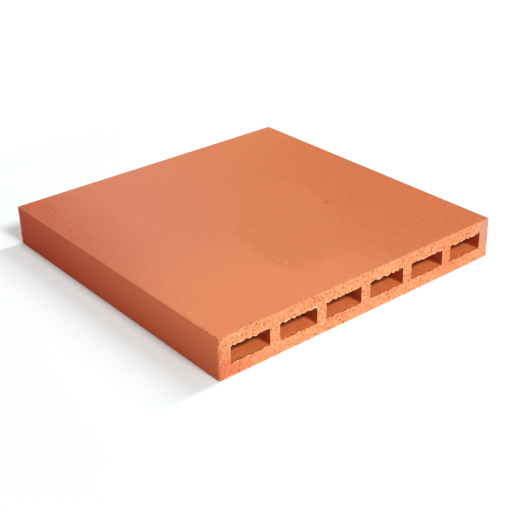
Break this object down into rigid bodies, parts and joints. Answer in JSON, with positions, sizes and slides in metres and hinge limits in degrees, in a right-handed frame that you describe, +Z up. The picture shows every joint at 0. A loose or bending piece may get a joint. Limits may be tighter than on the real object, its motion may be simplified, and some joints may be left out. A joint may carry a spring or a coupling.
{
  "type": "perforated clay tile",
  "caption": "Square fired-clay tile, extruded in one piece, with a row of flat rectangular cells running through it from one cut end to the other.",
  "frame": {"origin": "middle of the underside, on the surface the tile lies on", "axes": "+X across the cells, +Y along the cells, from the cut end in view to the far one, +Z up through the thickness"},
  "size_m": [0.4, 0.4, 0.05],
  "materials": {
    "fired_clay": "unglazed fired clay, smooth on the die faces and open-grained on the wire-cut ends"
  },
  "bodies": {
    "root": {"clay_tile": "fired_clay"}
  },
  "joints": []
}
